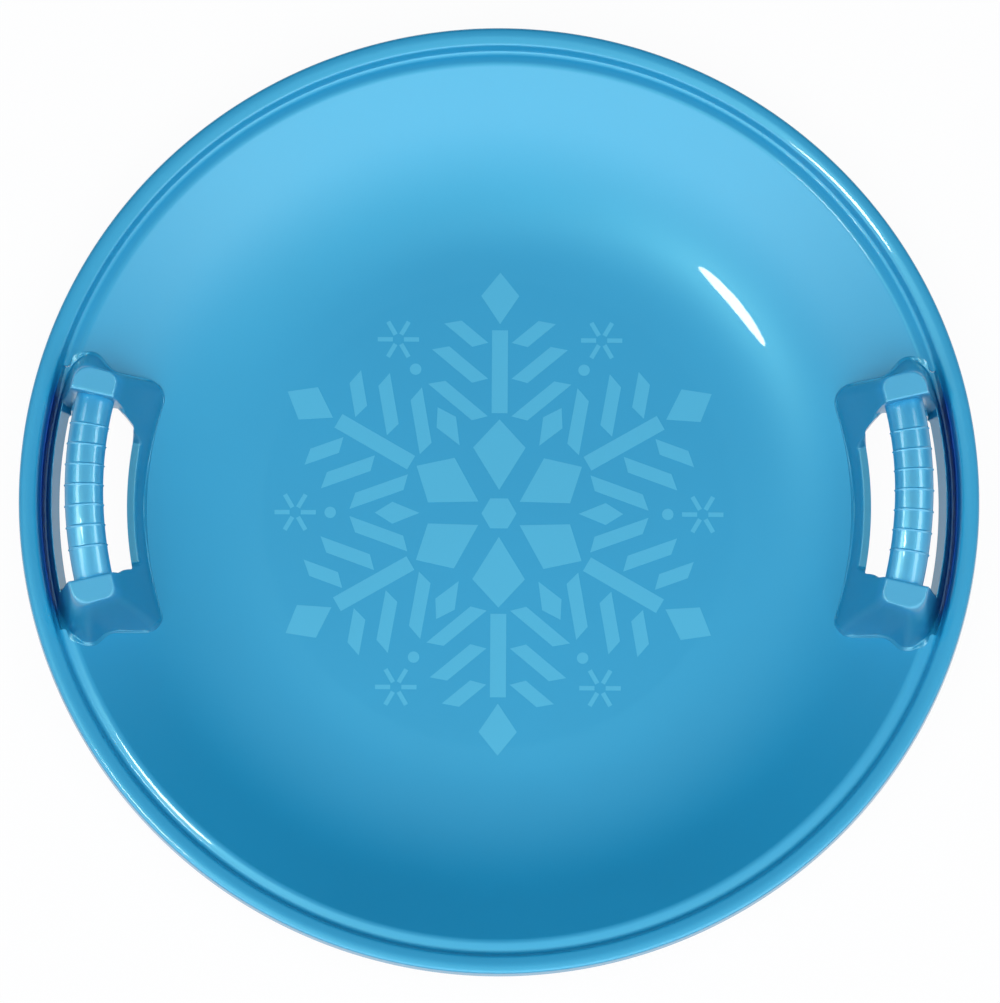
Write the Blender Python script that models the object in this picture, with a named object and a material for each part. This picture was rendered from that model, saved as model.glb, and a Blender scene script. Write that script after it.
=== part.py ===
"""Round snow slider: a deep plastic saucer with a raised, ribbed hand grip on each side.

Lengths are in metres, +Z is up, and the origin lies under the middle of the dish, on the
plane of its flat running face. The right-hand handle lies at +X, and the left-hand one is
the same shape turned half round the Z axis.
"""

import math

import bmesh
import bpy

# Dish: one section line, turned about Z
DISH_RADIUS = 0.300
WALL = 0.0025
FLOOR_RADIUS = 0.161
BEND_RADIUS = 0.148
CONE_ANGLE = math.radians(35)
SHOULDER_RADIUS = 0.0075
LEDGE_FALL = math.radians(20)
VALLEY_RADIUS = 0.0025
FLANK_ANGLE = math.radians(72)
FLANK_LENGTH = 0.0045
BEAD_RADIUS = 0.0060
SKIRT_ANGLE = math.radians(87)
SKIRT_DEPTH = 0.0065
TURN_STEPS = 56

# Handle mount: widths are radial, measured inward from its outer edge at the rim
SEAM = 0.0003
RIM_SEAT = 0.0004
MOUNT_WIDTH = 0.0653
SADDLE_INSET = 0.0303
RIM_LOBE_INSET = 0.0167
SHOULDER_INSET = 0.0043
LAND_INNER_INSET = 0.0403
LAND_OUTER_INSET = 0.0123
FENCE_INSET = 0.0067
CHANNEL_FOOT_INSET = 0.0035
CHANNEL_BACK_INSET = 0.0017
CHANNEL_TOP_INSET = 0.0005
FLANGE = 0.0020

# Handle mount: lengths along its arc, measured from its far end towards its middle
LOBE_REACH = 0.0945
SADDLE_DIP = 0.0093
RIM_LOBE_DIP = 0.0020
SHOULDER_DIP = 0.0100
NOTCH_DIP = 0.0175
LAND_END_DIP = 0.0203
LAND_LENGTH = 0.0164
LIP_END_GAP = 0.0158
CHANNEL_FADE_BEFORE = 0.0190
CHANNEL_FADE_AFTER = 0.0070
LOBE_CORNER = 0.012
RIM_LOBE_CORNER = 0.010
SHOULDER_CORNER = 0.006
NOTCH_CORNER = 0.0015

# Handle mount: heights above its seat at the rim, and how its surfaces meet
LAND_RISE = 0.0460
FENCE_DROP = 0.0020
FENCE_SLOPE = 2.9
CHANNEL_DROP = 0.0180
LIP_RISE = 0.0100
WEB_RISE = 0.0430
WEB_RISE_WIDTH = 0.0160
FACE_DRAFT = 0.0018
FACE_EDGE = 0.0020
LAND_INNER_CORNER = 0.007
LAND_OUTER_CORNER = 0.010
EDGE_BLEND = 0.006
FOOT_BLEND = 0.005

# Opening between the mount's walls
OPENING_INNER_INSET = 0.0533
OPENING_OUTER_INSET = 0.0112
OPENING_END_GAP = 0.0016
OPENING_INNER_CHAMFER = (0.0110, 0.0057)
OPENING_OUTER_CHAMFER = (0.0070, 0.0047)
OPENING_CORNER = 0.002

# Hand grip: an open-bottomed bar on an arc round the dish's axis, arched upwards
GRIP_INSET = 0.0283
GRIP_HALF_WIDTH = 0.0120
GRIP_CROWN = 0.0085
GRIP_SIDE = 0.0085
GRIP_TAPER = 0.0008
GRIP_WALL = 0.0030
GRIP_PROUD = 0.0035
GRIP_ARCH = 0.0085
GRIP_TENON = 0.0050
GRIP_CLEARANCE = 0.0003
RIB_COUNT = 7
RIB_HEIGHT = 0.0006
RIB_HALF_WIDTH = 0.0009
RIB_HALF_LAND = 0.0003

# How finely curves are divided, and how far cutters pass what they cut
CORNER_STEPS = 4
OUTLINE_STEP = 0.010
CROWN_STEPS = 6
PASS = 0.010
EDGE_PASS = 0.002

PLASTIC = (0.055, 0.380, 0.640, 1.0)
GRIP_PLASTIC = (0.065, 0.400, 0.660, 1.0)


RIM_RUN = FLANK_LENGTH * math.cos(FLANK_ANGLE) + SKIRT_DEPTH * math.cos(SKIRT_ANGLE)
RIM_RUN += BEAD_RADIUS * (math.sin(FLANK_ANGLE) + math.sin(SKIRT_ANGLE))
LEDGE_RUN = SHOULDER_RADIUS * (math.sin(CONE_ANGLE) + math.sin(LEDGE_FALL))
LEDGE_RUN += VALLEY_RADIUS * (math.sin(LEDGE_FALL) + math.sin(FLANK_ANGLE))
FLOOR_RUN = FLOOR_RADIUS + BEND_RADIUS * math.sin(CONE_ANGLE)
CONE_LENGTH = (DISH_RADIUS - RIM_RUN - LEDGE_RUN - FLOOR_RUN) / math.cos(CONE_ANGLE)


def section_line(depth):
    """Points (radius, height) of straights and tangent arcs, `depth` under the upper face."""
    points = [(0.0, WALL - depth)]
    heading = 0.0

    def straight(length):
        radius, height = points[-1]
        points.append((radius + length * math.cos(heading), height + length * math.sin(heading)))

    def arc(bend, turn, steps):
        nonlocal heading
        bend += math.copysign(depth, turn)
        chord = 2 * bend * math.sin(abs(turn) / steps / 2)
        for _ in range(steps):
            heading += turn / steps / 2
            straight(chord)
            heading += turn / steps / 2

    straight(FLOOR_RADIUS)
    arc(BEND_RADIUS, CONE_ANGLE, 4)
    straight(CONE_LENGTH)
    arc(SHOULDER_RADIUS, -CONE_ANGLE - LEDGE_FALL, 3)
    arc(VALLEY_RADIUS, LEDGE_FALL + FLANK_ANGLE, 3)
    straight(FLANK_LENGTH)
    arc(BEAD_RADIUS, -FLANK_ANGLE - SKIRT_ANGLE, 5)
    straight(SKIRT_DEPTH)
    return points


UPPER_LINE = section_line(0.0)
LOWER_LINE = section_line(WALL)


def dish_height(radius):
    """Height of the dish's upper face at a radius."""
    for (inner, low), (outer, high) in zip(UPPER_LINE, UPPER_LINE[1:]):
        if radius <= outer:
            return low + (high - low) * (radius - inner) / (outer - inner)
    return UPPER_LINE[-1][1]


# Places that follow from the sizes
MOUNT_OUTER = DISH_RADIUS - RIM_RUN - RIM_SEAT
MOUNT_INNER = MOUNT_OUTER - MOUNT_WIDTH
SADDLE_RADIUS = MOUNT_OUTER - SADDLE_INSET
RIM_LOBE_RADIUS = MOUNT_OUTER - RIM_LOBE_INSET
SHOULDER_EDGE = MOUNT_OUTER - SHOULDER_INSET
LAND_INNER = MOUNT_OUTER - LAND_INNER_INSET
LAND_OUTER = MOUNT_OUTER - LAND_OUTER_INSET
FENCE_RADIUS = MOUNT_OUTER - FENCE_INSET
CHANNEL_FOOT = MOUNT_OUTER - CHANNEL_FOOT_INSET
CHANNEL_BACK = MOUNT_OUTER - CHANNEL_BACK_INSET
CHANNEL_TOP = MOUNT_OUTER - CHANNEL_TOP_INSET
OPENING_INNER = MOUNT_OUTER - OPENING_INNER_INSET
OPENING_OUTER = MOUNT_OUTER - OPENING_OUTER_INSET
GRIP_RADIUS = MOUNT_OUTER - GRIP_INSET

SADDLE_REACH = LOBE_REACH - SADDLE_DIP
RIM_LOBE_REACH = LOBE_REACH - RIM_LOBE_DIP
SHOULDER_REACH = LOBE_REACH - SHOULDER_DIP
NOTCH_REACH = LOBE_REACH - NOTCH_DIP
LAND_END = LOBE_REACH - LAND_END_DIP
LAND_START = LAND_END - LAND_LENGTH
OPENING_REACH = LAND_START - OPENING_END_GAP
LIP_FLAT_REACH = LAND_START - LIP_END_GAP
CHANNEL_FADE_START = NOTCH_REACH - CHANNEL_FADE_BEFORE
CHANNEL_FADE_END = NOTCH_REACH + CHANNEL_FADE_AFTER
RIB_SPACING = 2 * LAND_START / (RIB_COUNT + 2)

SEAT_HEIGHT = dish_height(MOUNT_OUTER)
LAND_HEIGHT = SEAT_HEIGHT + LAND_RISE
FENCE_HEIGHT = SEAT_HEIGHT - FENCE_DROP
CHANNEL_HEIGHT = SEAT_HEIGHT - CHANNEL_DROP
LIP_HEIGHT = dish_height(OPENING_INNER) + LIP_RISE


def smooth_max(one, other, blend):
    """The larger value, rounded where the two are within `blend` of each other."""
    share = max(blend - abs(one - other), 0.0) / blend
    return max(one, other) + share * share * blend / 4


def smooth_min(one, other, blend):
    """The smaller value, rounded where the two are within `blend` of each other."""
    return -smooth_max(-one, -other, blend)


def corner_min(one, one_slope, other, other_slope, bend):
    """The smaller of two sloping walls' heights, their corner rounded to one radius in plan."""
    one_part = bend - one / one_slope
    other_part = bend - other / other_slope
    square = 1 / one_slope ** 2 + 1 / other_slope ** 2
    middle = one_part / one_slope + other_part / other_slope
    root = middle ** 2 - square * (one_part ** 2 + other_part ** 2 - bend ** 2)
    lower = min(one, other)
    if root <= 0:
        return lower
    height = (math.sqrt(root) - middle) / square
    inside = max((one - height) / one_slope, (other - height) / other_slope)
    return height if inside < bend else lower


def ease(share):
    """A ramp from 0 to 1 with level ends."""
    share = min(max(share, 0.0), 1.0)
    return share * share * (3 - 2 * share)


def line_through(radius, first, second):
    """Value at a radius of the straight line through two (radius, value) points."""
    slope = (second[1] - first[1]) / (second[0] - first[0])
    return first[1] + (radius - first[0]) * slope


def mount_end(radius):
    """Reach of the mount along its arc: an inner lobe, a slight saddle and a lobe by the rim."""
    saddle = (SADDLE_RADIUS, SADDLE_REACH)
    rim_lobe = (RIM_LOBE_RADIUS, RIM_LOBE_REACH)
    inner = line_through(radius, (MOUNT_INNER, LOBE_REACH), saddle)
    rising = line_through(radius, saddle, rim_lobe)
    falling = line_through(radius, rim_lobe, (SHOULDER_EDGE, SHOULDER_REACH))
    return smooth_max(inner, smooth_min(rising, falling, FOOT_BLEND), FOOT_BLEND)


def mount_bed(radius, reach):
    """The dish's face, with the deep channel that parts the mount's outer wall from the rim."""
    plain = dish_height(radius)
    if radius < LAND_OUTER:
        return plain
    back = line_through(radius, (CHANNEL_BACK, CHANNEL_HEIGHT), (CHANNEL_TOP, dish_height(CHANNEL_TOP)))
    channel = min(plain, max(CHANNEL_HEIGHT, back))
    fade = ease((reach - CHANNEL_FADE_START) / (CHANNEL_FADE_END - CHANNEL_FADE_START))
    return channel + (plain - channel) * fade


def mount_crest(radius, reach):
    """Top of the mount: end lands, the low lip, and the fence along the outer side."""
    rise = ease((reach - LIP_FLAT_REACH) / (LAND_START - FACE_DRAFT - LIP_FLAT_REACH))
    rise *= 1 - ease((radius - LAND_INNER) / WEB_RISE_WIDTH)
    web = LIP_HEIGHT + WEB_RISE * rise
    fence = FENCE_HEIGHT - max(FENCE_RADIUS - radius, 0.0) * FENCE_SLOPE
    between = smooth_max(web, fence, EDGE_BLEND)
    past_face = reach - LAND_START
    if past_face >= FACE_EDGE:
        return LAND_HEIGHT
    if past_face >= 0:
        return LAND_HEIGHT - FACE_EDGE + math.sqrt(FACE_EDGE ** 2 - (FACE_EDGE - past_face) ** 2)
    up_face = max(1 + past_face / FACE_DRAFT, 0.0)
    return between + (LAND_HEIGHT - FACE_EDGE - between) * up_face


def mount_top(radius, along):
    """Height of the mount's upper face at a radius and at an arc length from its middle."""
    reach = abs(along)
    bed = mount_bed(radius, reach)
    foot = MOUNT_INNER + FLANGE
    inner_slope = (LAND_HEIGHT - dish_height(foot)) / (LAND_INNER - foot)
    outer_slope = (LAND_HEIGHT - CHANNEL_HEIGHT) / (CHANNEL_FOOT - LAND_OUTER)
    end_slope = (LAND_HEIGHT - dish_height(radius)) / (mount_end(radius) - FLANGE - LAND_END)
    inner = LAND_HEIGHT + (radius - LAND_INNER) * inner_slope
    outer = LAND_HEIGHT - (radius - LAND_OUTER) * outer_slope
    end = LAND_HEIGHT - (reach - LAND_END) * end_slope
    walls = min(
        corner_min(inner, inner_slope, end, end_slope, LAND_INNER_CORNER),
        corner_min(outer, outer_slope, end, end_slope, LAND_OUTER_CORNER),
    )
    mound = smooth_min(walls, mount_crest(radius, reach), EDGE_BLEND)
    return smooth_max(bed, mound, FOOT_BLEND)


def mount_under(radius, along):
    """Height of the lower face, one wall thickness from every point of the upper face."""
    lowest = mount_top(radius, along) - WALL
    for share in (0.5, 0.85, 1.0):
        drop = WALL * math.sqrt(1 - share * share)
        for step in range(8):
            angle = math.tau * step / 8
            near_radius = radius + share * WALL * math.cos(angle)
            near_along = along + share * WALL * math.sin(angle)
            lowest = min(lowest, mount_top(near_radius, near_along) - drop)
    return lowest


def place(radius, along, height):
    """Position of a point given by its radius, its arc length at the grip and its height."""
    angle = along / GRIP_RADIUS
    return (radius * math.cos(angle), radius * math.sin(angle), height)


def divide(stops):
    """Values from (value, number of steps up to the next value) pairs; the last has no steps."""
    values = []
    for (start, steps), (end, _) in zip(stops, stops[1:]):
        values += [start + (end - start) * step / steps for step in range(steps)]
    return values + [stops[-1][0]]


def round_corner(before, corner, after, bend):
    """Points of the arc that rounds one corner of an outline."""
    points = []
    legs = []
    for end in (before, after):
        length = math.dist(corner, end)
        legs.append(((end[0] - corner[0]) / length, (end[1] - corner[1]) / length))
    half = math.acos(legs[0][0] * legs[1][0] + legs[0][1] * legs[1][1]) / 2
    middle = (legs[0][0] + legs[1][0], legs[0][1] + legs[1][1])
    size = math.hypot(*middle)
    centre_distance = bend / math.sin(half)
    centre = (
        corner[0] + middle[0] / size * centre_distance,
        corner[1] + middle[1] / size * centre_distance,
    )
    trim = bend / math.tan(half)
    first = (corner[0] + legs[0][0] * trim, corner[1] + legs[0][1] * trim)
    start = math.atan2(first[1] - centre[1], first[0] - centre[0])
    last = (corner[0] + legs[1][0] * trim, corner[1] + legs[1][1] * trim)
    sweep = math.atan2(last[1] - centre[1], last[0] - centre[0]) - start
    sweep = (sweep + math.pi) % math.tau - math.pi
    for step in range(CORNER_STEPS + 1):
        angle = start + sweep * step / CORNER_STEPS
        points.append((centre[0] + bend * math.cos(angle), centre[1] + bend * math.sin(angle)))
    return points


def closed_outline(half_corners):
    """Whole outline in (radius, arc) from the corners of its +arc half, mirrored and rounded."""
    corners = half_corners + [(radius, -along, bend) for radius, along, bend in reversed(half_corners)]
    points = []
    for index, (radius, along, bend) in enumerate(corners):
        before = corners[index - 1][:2]
        after = corners[(index + 1) % len(corners)][:2]
        points += round_corner(before, (radius, along), after, bend) if bend else [(radius, along)]
    fine = []
    for start, end in zip(points, points[1:] + points[:1]):
        steps = max(1, round(math.dist(start, end) / OUTLINE_STEP))
        fine += [
            (start[0] + (end[0] - start[0]) * step / steps, start[1] + (end[1] - start[1]) * step / steps)
            for step in range(steps)
        ]
    return fine


def mount_outline(grow):
    """Outline of the mount, or of the dish's cut-out when it is grown by the seam."""
    outer = MOUNT_OUTER + grow
    return closed_outline([
        (MOUNT_INNER - grow, LOBE_REACH + grow, LOBE_CORNER + grow),
        (SADDLE_RADIUS, SADDLE_REACH + grow, LOBE_CORNER),
        (RIM_LOBE_RADIUS, RIM_LOBE_REACH + grow, RIM_LOBE_CORNER + grow),
        (SHOULDER_EDGE + grow, SHOULDER_REACH + grow, SHOULDER_CORNER + grow),
        (SHOULDER_EDGE + grow, NOTCH_REACH + grow, NOTCH_CORNER),
        (outer, NOTCH_REACH + grow, 0.0),
    ])


def opening_outline():
    """Outline of the finger opening, with its four corners cut off."""
    across_in, along_in = OPENING_INNER_CHAMFER
    across_out, along_out = OPENING_OUTER_CHAMFER
    return closed_outline([
        (OPENING_INNER, OPENING_REACH - along_in, OPENING_CORNER),
        (OPENING_INNER + across_in, OPENING_REACH, OPENING_CORNER),
        (OPENING_OUTER - across_out, OPENING_REACH, OPENING_CORNER),
        (OPENING_OUTER, OPENING_REACH - along_out, OPENING_CORNER),
    ])


def new_object(name, mesh, material=None):
    """An object in the scene, with one material if it is a piece of the product."""
    item = bpy.data.objects.new(name, mesh)
    bpy.context.scene.collection.objects.link(item)
    if material:
        mesh.materials.append(material)
    return item


def mesh_from(name, work):
    """Close a bmesh into a mesh whose faces look outwards and whose curves are smooth."""
    bmesh.ops.recalc_face_normals(work, faces=work.faces)
    mesh = bpy.data.meshes.new(name)
    work.to_mesh(mesh)
    work.free()
    mesh.shade_smooth()
    mesh.set_sharp_from_angle(angle=math.radians(35))
    return mesh


def prism(name, outline):
    """A cutter: an outline in (radius, arc) carried up through the whole height."""
    work = bmesh.new()
    base = [work.verts.new(place(radius, along, -PASS)) for radius, along in outline]
    face = work.faces.new(base)
    lifted = bmesh.ops.extrude_face_region(work, geom=[face])
    top = [item for item in lifted["geom"] if isinstance(item, bmesh.types.BMVert)]
    bmesh.ops.translate(work, verts=top, vec=(0, 0, LAND_HEIGHT + 2 * PASS))
    return cutter(name, mesh_from(name, work))


def cutter(name, mesh):
    """An object that only cuts others and is left out of the product."""
    item = new_object(name, mesh)
    item.hide_render = True
    item.display_type = "WIRE"
    return item


def turned_copy(item, name):
    """The same mesh on the opposite side of the dish."""
    copy = item.copy()
    copy.name = name
    copy.rotation_euler.z = math.pi
    bpy.context.scene.collection.objects.link(copy)
    return copy


def add_boolean(item, operation, tool):
    """Cut or trim an object with a cutter."""
    boolean = item.modifiers.new(tool.name, "BOOLEAN")
    boolean.operation = operation
    boolean.solver = "EXACT"
    boolean.object = tool
    return boolean


def plastic(name, colour):
    """Glossy moulded plastic."""
    material = bpy.data.materials.new(name)
    material.use_nodes = True
    shader = material.node_tree.nodes["Principled BSDF"]
    shader.inputs["Base Color"].default_value = colour
    shader.inputs["Roughness"].default_value = 0.22
    shader.inputs["Metallic"].default_value = 0.0
    return material


def dish_mesh():
    """The closed section line of the saucer: over the top, down the skirt and back below."""
    work = bmesh.new()
    line = UPPER_LINE + LOWER_LINE[::-1]
    verts = [work.verts.new((radius, 0.0, height)) for radius, height in line]
    for start, end in zip(verts, verts[1:]):
        work.edges.new((start, end))
    mesh = bpy.data.meshes.new("dish")
    work.to_mesh(mesh)
    work.free()
    return mesh


def add_dish(material, cutouts):
    """The saucer, turned from its section line and cut out for the two mounts."""
    dish = new_object("dish", dish_mesh(), material)
    turn = dish.modifiers.new("turn", "SCREW")
    turn.axis = "Z"
    turn.steps = TURN_STEPS
    turn.render_steps = TURN_STEPS
    turn.use_merge_vertices = True
    turn.merge_threshold = 0.00001
    turn.use_smooth_shade = True
    for tool in cutouts:
        add_boolean(dish, "DIFFERENCE", tool)
    return dish


def cell_turn(radii, arcs):
    """0 where a cell's first diagonal lies nearer to the upper face at its middle, else 1."""
    middle = mount_top((radii[0] + radii[1]) / 2, (arcs[0] + arcs[1]) / 2)
    first = (mount_top(radii[0], arcs[0]) + mount_top(radii[1], arcs[1])) / 2
    second = (mount_top(radii[0], arcs[1]) + mount_top(radii[1], arcs[0])) / 2
    return 0 if abs(first - middle) <= abs(second - middle) else 1


def mount_mesh():
    """The mount's moulded skin as two matching sheets closed at their edges, before trimming."""
    radii = divide([
        (MOUNT_INNER - EDGE_PASS, 1),
        (MOUNT_INNER + FLANGE, 2),
        (MOUNT_INNER + FLANGE + FOOT_BLEND, 2),
        (OPENING_INNER, 3),
        (LAND_INNER - FACE_EDGE, 1),
        (LAND_INNER + FACE_EDGE, 3),
        (LAND_OUTER - FACE_EDGE, 1),
        (LAND_OUTER, 2),
        (FENCE_RADIUS, 1),
        (FENCE_RADIUS + FACE_EDGE / 2, 2),
        (CHANNEL_FOOT, 1),
        (CHANNEL_BACK, 1),
        (CHANNEL_TOP, 1),
        (MOUNT_OUTER + SEAM, 0),
    ])
    half = divide([
        (0.0, 3),
        (LIP_FLAT_REACH, 3),
        (LAND_START - 2 * FACE_DRAFT, 1),
        (LAND_START - FACE_DRAFT, 1),
        (LAND_START, 1),
        (LAND_START + FACE_EDGE / 2, 1),
        (LAND_START + WALL, 1),
        (LAND_START + WALL + FACE_DRAFT / 2, 2),
        (LAND_END, 1),
        (LAND_END + FACE_EDGE, 4),
        (SADDLE_REACH, 3),
        (LOBE_REACH + EDGE_PASS, 0),
    ])
    arcs = [-reach for reach in reversed(half[1:])] + half
    work = bmesh.new()
    top = [[work.verts.new(place(r, a, mount_top(r, a))) for a in arcs] for r in radii]
    under = [[work.verts.new(place(r, a, mount_under(r, a))) for a in arcs] for r in radii]
    for row in range(len(radii) - 1):
        for column in range(len(arcs) - 1):
            turn = cell_turn(radii[row:row + 2], arcs[column:column + 2])
            for sheet in (top, under):
                corners = [sheet[row][column], sheet[row][column + 1]]
                corners += [sheet[row + 1][column + 1], sheet[row + 1][column]]
                corners = corners[turn:] + corners[:turn]
                work.faces.new(corners[:3])
                work.faces.new((corners[0], corners[2], corners[3]))
    edge = [(0, column) for column in range(len(arcs))]
    edge += [(row, len(arcs) - 1) for row in range(1, len(radii))]
    edge += [(len(radii) - 1, column) for column in range(len(arcs) - 2, -1, -1)]
    edge += [(row, 0) for row in range(len(radii) - 2, 0, -1)]
    for (row, column), (next_row, next_column) in zip(edge, edge[1:] + edge[:1]):
        work.faces.new((
            top[row][column],
            top[next_row][next_column],
            under[next_row][next_column],
            under[row][column],
        ))
    return mesh_from("handle_mount", work)


def grip_height(along):
    """Height of the grip's widest line, which is arched between the two lands."""
    middle = LAND_HEIGHT + GRIP_PROUD - GRIP_CROWN
    return middle - GRIP_ARCH * (along / LAND_START) ** 2


def crown_line(half_width, crown, side):
    """Half of an oval on two straight sides, from one lower edge over the top to the other."""
    points = [(-half_width + GRIP_TAPER, -side)]
    for step in range(CROWN_STEPS + 1):
        angle = math.pi * (1 - step / CROWN_STEPS)
        points.append((half_width * math.cos(angle), crown * math.sin(angle)))
    points.append((half_width - GRIP_TAPER, -side))
    return points


def sweep(name, sections):
    """A bar through a list of (arc length, section points) along the grip's arched arc."""
    work = bmesh.new()
    rings = []
    for along, points in sections:
        base = grip_height(along)
        rings.append([work.verts.new(place(GRIP_RADIUS + x, along, base + z)) for x, z in points])
    count = len(rings[0])
    for ring, next_ring in zip(rings, rings[1:]):
        for index in range(count):
            after = (index + 1) % count
            work.faces.new((ring[index], ring[after], next_ring[after], next_ring[index]))
    work.faces.new(rings[0])
    work.faces.new(rings[-1])
    return mesh_from(name, work)


def grip_section(rib):
    """Channel section of the grip; a rib makes its outside larger."""
    outside = crown_line(GRIP_HALF_WIDTH + rib, GRIP_CROWN + rib, GRIP_SIDE)
    inside = crown_line(GRIP_HALF_WIDTH - GRIP_WALL, GRIP_CROWN - GRIP_WALL, GRIP_SIDE)
    return outside + inside[::-1]


def grip_mesh():
    """The grip with its raised ribs and the plain tenons that enter the lands' end faces."""
    end = LAND_START + GRIP_TENON
    sections = [(-end, grip_section(0.0)), (-LAND_START, grip_section(0.0))]
    for index in range(RIB_COUNT):
        middle = (index - (RIB_COUNT - 1) / 2) * RIB_SPACING
        sections += [
            (middle - RIB_HALF_WIDTH, grip_section(0.0)),
            (middle - RIB_HALF_LAND, grip_section(RIB_HEIGHT)),
            (middle + RIB_HALF_LAND, grip_section(RIB_HEIGHT)),
            (middle + RIB_HALF_WIDTH, grip_section(0.0)),
        ]
    sections += [(LAND_START, grip_section(0.0)), (end, grip_section(0.0))]
    return sweep("grip", sections)


def socket_mesh():
    """What the grip's tenons need in the mount's end faces, with their clearance."""
    section = crown_line(
        GRIP_HALF_WIDTH + GRIP_CLEARANCE,
        GRIP_CROWN + GRIP_CLEARANCE,
        GRIP_SIDE + GRIP_CLEARANCE,
    )
    end = LAND_START + GRIP_TENON + WALL
    stops = divide([(-end, 1), (-LAND_START, 10), (LAND_START, 1), (end, 0)])
    return sweep("grip_socket", [(along, section) for along in stops])


def build():
    """Make the dish, the two mounts and the two grips."""
    for item in list(bpy.data.objects):
        bpy.data.objects.remove(item)
    dish_plastic = plastic("dish_plastic", PLASTIC)
    mount_plastic = plastic("mount_plastic", PLASTIC)
    grip_plastic = plastic("grip_plastic", GRIP_PLASTIC)

    cutout = prism("right_cutout", mount_outline(SEAM))
    trim = prism("right_trim", mount_outline(0.0))
    opening = prism("right_opening", opening_outline())
    socket = cutter("right_socket", socket_mesh())
    right_tools = [trim, opening, socket]
    left_tools = [turned_copy(tool, tool.name.replace("right", "left")) for tool in right_tools]
    add_dish(dish_plastic, [cutout, turned_copy(cutout, "left_cutout")])

    mount = new_object("right_handle_mount", mount_mesh(), mount_plastic)
    left_mount = turned_copy(mount, "left_handle_mount")
    for item, tools in ((mount, right_tools), (left_mount, left_tools)):
        add_boolean(item, "INTERSECT", tools[0])
        add_boolean(item, "DIFFERENCE", tools[1])
        add_boolean(item, "DIFFERENCE", tools[2])

    grip = new_object("right_grip", grip_mesh(), grip_plastic)
    turned_copy(grip, "left_grip")


build()
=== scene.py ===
"""Looks of the round snow slider: a glossy blue saucer with a ribbed hand grip on each side."""
import math

import bmesh
import bpy
import numpy as np
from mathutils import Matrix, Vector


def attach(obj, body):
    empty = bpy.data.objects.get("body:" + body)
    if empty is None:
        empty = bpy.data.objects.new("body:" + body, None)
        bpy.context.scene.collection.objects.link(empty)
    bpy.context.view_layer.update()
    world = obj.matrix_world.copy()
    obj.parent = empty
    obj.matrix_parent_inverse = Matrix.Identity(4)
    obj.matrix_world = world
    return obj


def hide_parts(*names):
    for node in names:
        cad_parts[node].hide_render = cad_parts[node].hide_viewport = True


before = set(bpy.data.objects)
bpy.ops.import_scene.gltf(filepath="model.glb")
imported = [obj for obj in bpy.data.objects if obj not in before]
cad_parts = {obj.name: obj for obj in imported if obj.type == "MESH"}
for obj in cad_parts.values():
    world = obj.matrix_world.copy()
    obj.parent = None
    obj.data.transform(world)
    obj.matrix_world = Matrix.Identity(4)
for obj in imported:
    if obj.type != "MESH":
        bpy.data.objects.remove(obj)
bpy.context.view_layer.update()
scene = bpy.context.scene
scene.view_settings.view_transform = "Standard"

# The dish: one sheet of tough polythene, 2.5 mm thick, moulded with a flat floor, a wide
# bend, a sloping wall and a rolled rim whose skirt hangs free. Everything else is carried by
# it. Its section is a path of straights and arcs from the axis out to the foot of the skirt.
DISH_RADIUS = 0.300
WALL = 0.0025
FLOOR_RADIUS = 0.161
BEND_RADIUS = 0.148
CONE_ANGLE = math.radians(35)
SHOULDER_RADIUS = 0.0075
LEDGE_FALL = math.radians(20)
VALLEY_RADIUS = 0.0025
FLANK_ANGLE = math.radians(72)
FLANK_LENGTH = 0.0045
BEAD_RADIUS = 0.0060
SKIRT_ANGLE = math.radians(87)
SKIRT_DEPTH = 0.0065
RIM_RUN = FLANK_LENGTH * math.cos(FLANK_ANGLE) + SKIRT_DEPTH * math.cos(SKIRT_ANGLE)
RIM_RUN += BEAD_RADIUS * (math.sin(FLANK_ANGLE) + math.sin(SKIRT_ANGLE))
LEDGE_RUN = SHOULDER_RADIUS * (math.sin(CONE_ANGLE) + math.sin(LEDGE_FALL))
LEDGE_RUN += VALLEY_RADIUS * (math.sin(LEDGE_FALL) + math.sin(FLANK_ANGLE))
BEAD_FOOT = DISH_RADIUS - RIM_RUN
CONE_RUN = BEAD_FOOT - LEDGE_RUN - FLOOR_RADIUS - BEND_RADIUS * math.sin(CONE_ANGLE)
# Nearly flat runs of the ledge and the bead: length, first heading and last, in degrees.
LEDGE_FLATS = [(0.0026, -9.7, -12.5)]
BEAD_FLATS = [(0.0032, 16.8, 13.8), (0.0026, 13.8, -2.0), (0.0022, -2.0, -11.0)]
BEAD_LIFT = 0.0011
SKIRT_LONGER = 0.0014
PATH_STEP = 0.0002
BEND_EASE = 0.036
EDGE_EASE = 0.0018
FLOOR_STOPS = 8
WALL_STOPS = 54
RIM_STOPS = 96
DISH_TURNS = 384
CREASE = 35
DISH_BLUE = (0.014, 0.302, 0.530, 1.0)
DISH_FINISH = {"clouding": 0.05, "gloss": 0.33, "relief": 0.5}
# The polish that all the plastic shares, and the depth of its grain.
SHEEN_TINT = (0.36, 0.95, 0.92, 1.0)
POLISH = {
    "IOR": 1.5,
    "Specular IOR Level": 0.95,
    "Specular Tint": SHEEN_TINT,
    "Coat Weight": 0.5,
    "Coat Roughness": 0.03,
}
GRAIN_DEPTH = 0.00004
# Noise in the plastic, by size, and how much each kind takes part in gloss and relief.
CLOUD_SCALE = 7.0
CLOUD_DETAIL = 3.0
CLOUD_IN_GLOSS = 1.5
GRAIN_SCALE = 900.0
GRAIN_IN_GLOSS = 0.03
RIPPLE_SCALE = 60.0
RIPPLE_IN_RELIEF = 3.0
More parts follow.
